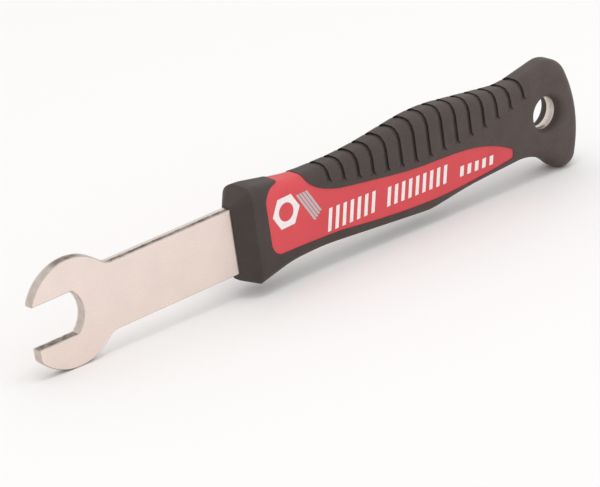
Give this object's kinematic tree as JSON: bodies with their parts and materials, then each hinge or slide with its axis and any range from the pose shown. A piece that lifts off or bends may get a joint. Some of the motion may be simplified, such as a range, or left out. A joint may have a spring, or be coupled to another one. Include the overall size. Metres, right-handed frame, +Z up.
{
  "type": "pedal wrench",
  "caption": "Flat open-ended spanner for bicycle pedal flats, with a long straight blade and a soft contoured handle that has a hanging hole at its tail.",
  "frame": {"origin": "middle of the length and thickness of the tool, on the ground line under it", "axes": "+X runs along the tool from the jaw to the tail, +Y runs through its thickness, away from the side with the printing, +Z is up; the tool stands on its lower edge"},
  "size_m": [0.2374, 0.0164, 0.0414],
  "materials": {
    "satin_steel": "fine satin faces with ground, slightly darker stamped edges",
    "red_plastic": "moulded red plastic with a soft sheen",
    "black_rubber": "fine-grained black soft overmould"
  },
  "bodies": {
    "root": {"wrench_plate": "satin_steel", "handle_core": "red_plastic", "grip": "black_rubber"}
  },
  "joints": []
}
